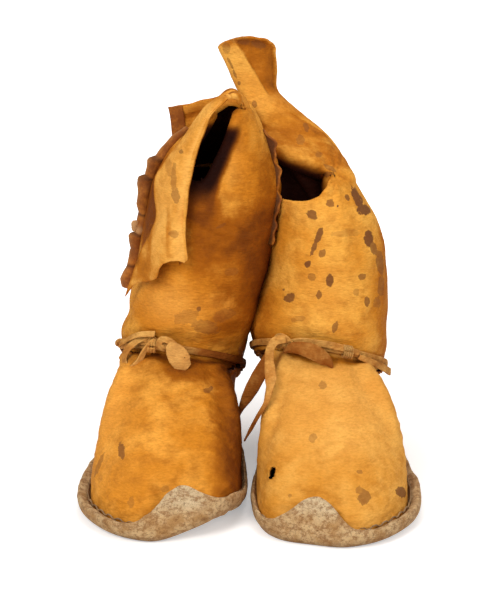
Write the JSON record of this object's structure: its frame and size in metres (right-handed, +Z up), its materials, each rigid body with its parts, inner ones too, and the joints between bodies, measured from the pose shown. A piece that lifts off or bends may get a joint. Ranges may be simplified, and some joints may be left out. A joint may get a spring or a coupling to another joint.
{
  "type": "pair of tall hide moccasins",
  "caption": "Tall soft hide moccasin boots with dished rawhide soles and turned-up toe tabs, tied at the ankle with thongs; hollow, worn on the feet.",
  "frame": {"origin": "centre of the pair's box on the floor under the soles", "axes": "+Z up, toes towards -Y, the wearer's left boot on the +X side"},
  "size_m": [0.2265, 0.259, 0.2881],
  "materials": {
    "rawhide": "dry mottled rawhide",
    "right_upper": "smoked buckskin, worn",
    "left_upper": "smoked buckskin, worn",
    "right_leg": "smoked buckskin, creased",
    "left_leg": "smoked buckskin, creased and stained",
    "flap": "smoked buckskin, flesh side out",
    "dark_welt": "dark stained edge",
    "thong": "thin buckskin thong",
    "sinew": "twisted sinew",
    "sole_thread": "dark sinew thread"
  },
  "bodies": {
    "right_foot": {"right_sole": "rawhide", "right_sole_stitching": "sole_thread", "right_vamp": "right_upper", "right_quarter": "right_upper", "right_ankle_tie": "thong", "right_tie_knot": "thong", "right_tie_loop": "thong", "right_tie_stub": "thong", "right_tie_tail": "thong"},
    "right_shaft": {"right_leg": "right_leg", "right_side_welt": "dark_welt", "right_rear_welt": "dark_welt", "right_rear_cuff": "right_leg", "right_cuff_band": "dark_welt"},
    "right_flap": {"right_front_flap": "flap"},
    "left_foot": {"left_sole": "rawhide", "left_sole_stitching": "sole_thread", "left_vamp": "left_upper", "left_quarter": "left_upper", "left_ankle_tie": "thong", "left_tie_knot": "thong", "left_tie_leaf": "thong", "left_tie_lashing": "sinew", "left_tie_broad_tail": "thong", "left_tie_thin_tail": "thong"},
    "left_shaft": {"left_leg": "left_leg"},
    "left_top": {"left_leg_top": "left_leg"}
  },
  "joints": [
    {"name": "pair_parting", "type": "slide", "parent": "right_foot", "child": "left_foot", "axis": [1, 0, 0], "range_m": [0, 0.12]},
    {"name": "right_ankle_bend", "type": "hinge", "parent": "right_foot", "child": "right_shaft", "pos_m": [-0.04675, 0.01712, 0.08995], "axis": [1, 0, 0], "range_deg": [0, 8]},
    {"name": "right_flap_fold", "type": "hinge", "parent": "right_shaft", "child": "right_flap", "pos_m": [-0.02575, 0.00462, 0.25], "axis": [-1, 0, 0], "range_deg": [0, 55]},
    {"name": "left_ankle_bend", "type": "hinge", "parent": "left_foot", "child": "left_shaft", "pos_m": [0.04875, 0.10712, 0.04963], "axis": [1, 0, 0], "range_deg": [-8, 0]},
    {"name": "left_top_fold", "type": "hinge", "parent": "left_shaft", "child": "left_top", "pos_m": [0.07625, 0.07162, 0.196], "axis": [0, 1, 0], "range_deg": [0, 28]}
  ]
}
